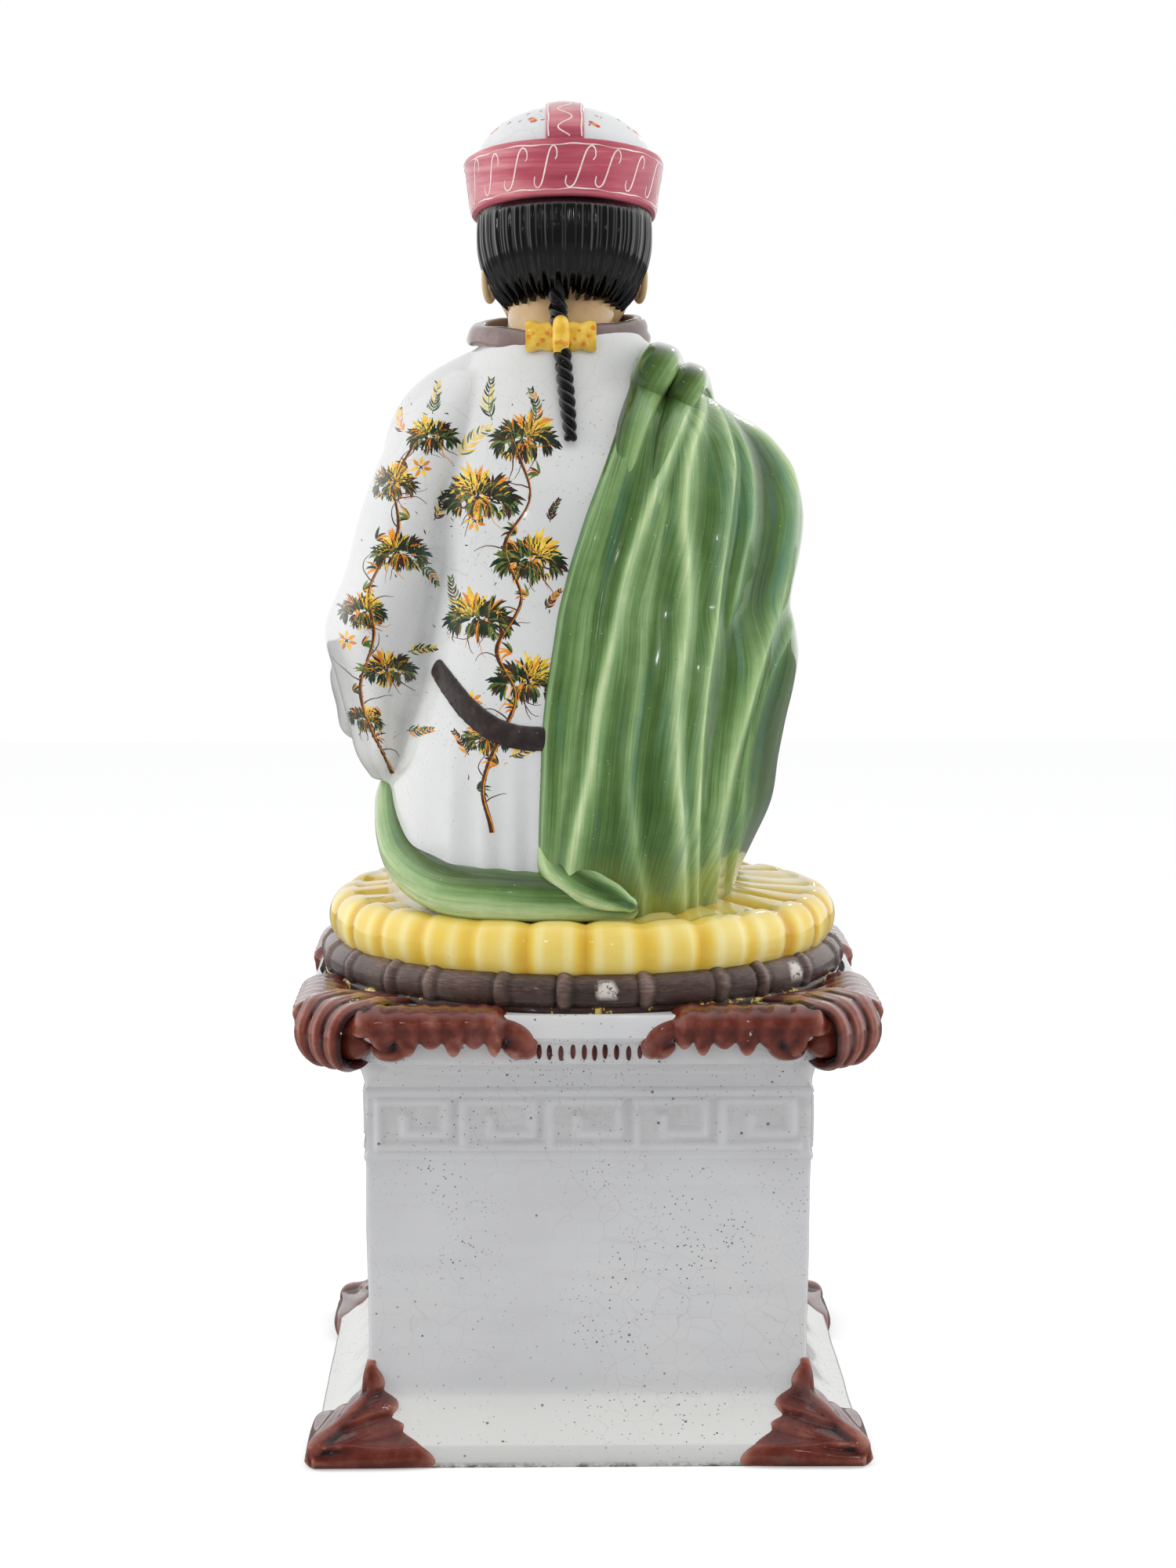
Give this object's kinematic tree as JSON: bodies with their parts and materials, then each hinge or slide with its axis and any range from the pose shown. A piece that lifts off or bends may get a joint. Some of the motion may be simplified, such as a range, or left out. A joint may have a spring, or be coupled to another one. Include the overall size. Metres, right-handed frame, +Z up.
{
  "type": "tin-glazed terracotta seated figure on a pedestal",
  "caption": "Seated robed figure of painted, tin-glazed terracotta on a tufted cushion and bamboo ring, set in the recessed top of a square pedestal with acanthus corners.",
  "frame": {"origin": "middle of the pedestal's square base, on the ground", "axes": "+Z up; the figure faces +Y, so the pictured back looks towards -Y; +X is the figure's right, under the green mantle"},
  "size_m": [0.3738, 0.3738, 0.8725],
  "materials": {
    "white_glaze": "gloss",
    "figure_glaze": "gloss",
    "pad_clay": "matte"
  },
  "bodies": {
    "root": {"pedestal": "white_glaze", "seated_figure": "figure_glaze", "levelling_pad": "pad_clay"}
  },
  "joints": []
}
